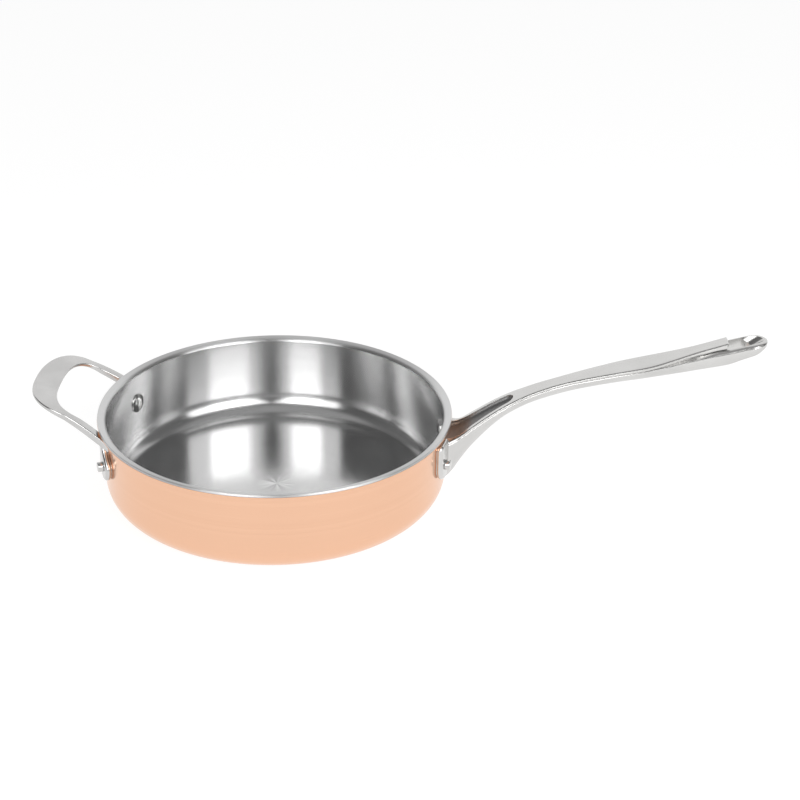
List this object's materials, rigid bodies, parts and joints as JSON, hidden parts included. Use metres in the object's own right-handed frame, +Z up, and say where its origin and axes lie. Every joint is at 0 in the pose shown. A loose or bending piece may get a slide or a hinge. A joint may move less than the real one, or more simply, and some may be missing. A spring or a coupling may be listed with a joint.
{
  "type": "saute pan",
  "caption": "Round straight-walled saute pan in bonded copper, aluminium and steel with a flared rim, a long cast handle with a hanging slot and a cast loop helper handle.",
  "frame": {"origin": "centre of the flat base, on its underside", "axes": "+Z up through the pan, +X along the long handle away from the pan, +Y to the left of the long handle seen from the pan"},
  "size_m": [0.5489, 0.27, 0.1404],
  "materials": {
    "copper": "polished copper",
    "aluminium": "sealed between the layers",
    "lining_steel": "finely brushed",
    "cast_steel": "satin to polished",
    "rivet_steel": "polished"
  },
  "bodies": {
    "root": {"copper_skin": "copper", "aluminium_core": "aluminium", "steel_lining": "lining_steel", "long_handle": "cast_steel", "helper_handle": "cast_steel", "long_handle_rivets": "rivet_steel", "helper_handle_rivets": "rivet_steel"}
  },
  "joints": []
}
